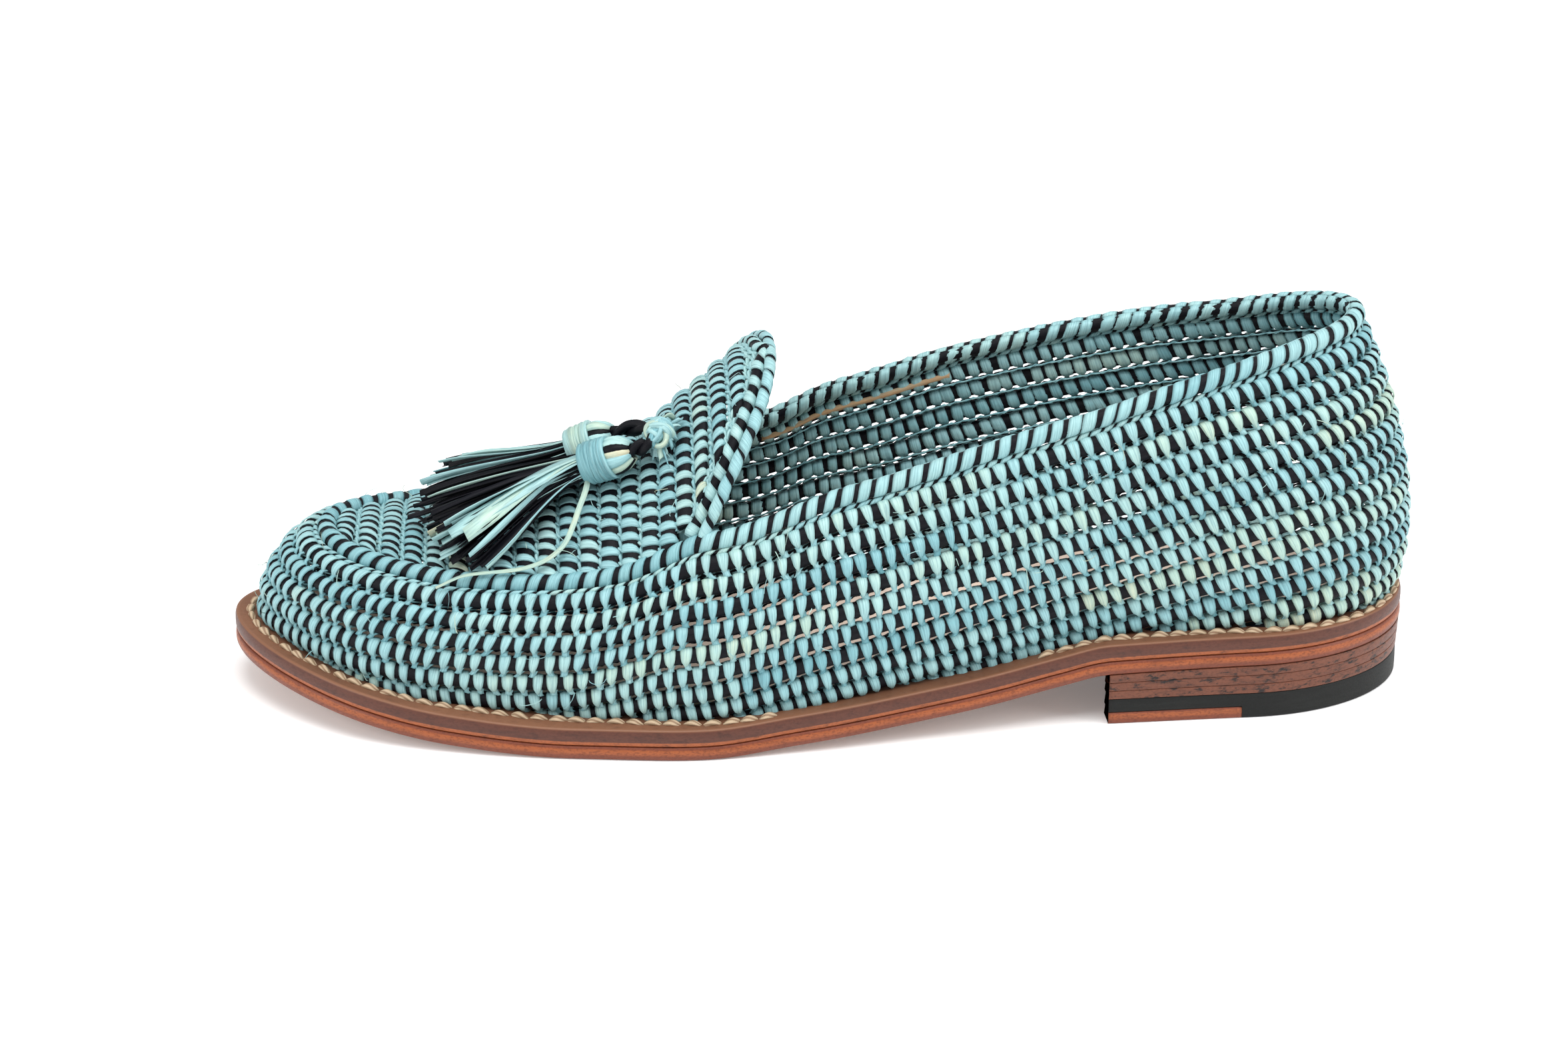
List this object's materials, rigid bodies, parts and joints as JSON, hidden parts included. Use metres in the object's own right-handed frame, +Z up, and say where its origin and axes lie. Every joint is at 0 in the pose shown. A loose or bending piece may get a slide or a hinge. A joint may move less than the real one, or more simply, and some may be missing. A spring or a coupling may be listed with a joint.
{
  "type": "raffia moccasin",
  "caption": "Slip-on moccasin of coiled raffia with a raised apron, standing tongue and tied tassels, on a stitched leather sole with a stacked heel.",
  "frame": {"origin": "middle of the shoe's outline, on the floor it stands on", "axes": "+X from toe to heel, +Y towards the inner side of the foot, +Z up"},
  "size_m": [0.2696, 0.0879, 0.089],
  "materials": {
    "raffia": "wrapped dyed raffia, matt",
    "cord_raffia": "black raffia cord, matt",
    "welt_leather": "waxed dark brown edge",
    "edge_leather": "waxed tan edge",
    "stack_leather": "waxed stacked lifts",
    "insole_leather": "smooth lining leather",
    "heel_rubber": "matt black rubber"
  },
  "bodies": {
    "root": {"upper": "raffia", "tassel_lateral": "raffia", "tassel_medial": "raffia", "tassel_knot": "raffia", "tassel_cord_lateral": "cord_raffia", "tassel_cord_medial": "cord_raffia", "midsole": "welt_leather", "outsole": "edge_leather", "insole": "insole_leather", "heel_lift_1": "stack_leather", "heel_lift_2": "stack_leather", "heel_lift_3": "stack_leather", "heel_rubber": "heel_rubber", "heel_leather_tip": "edge_leather"}
  },
  "joints": []
}
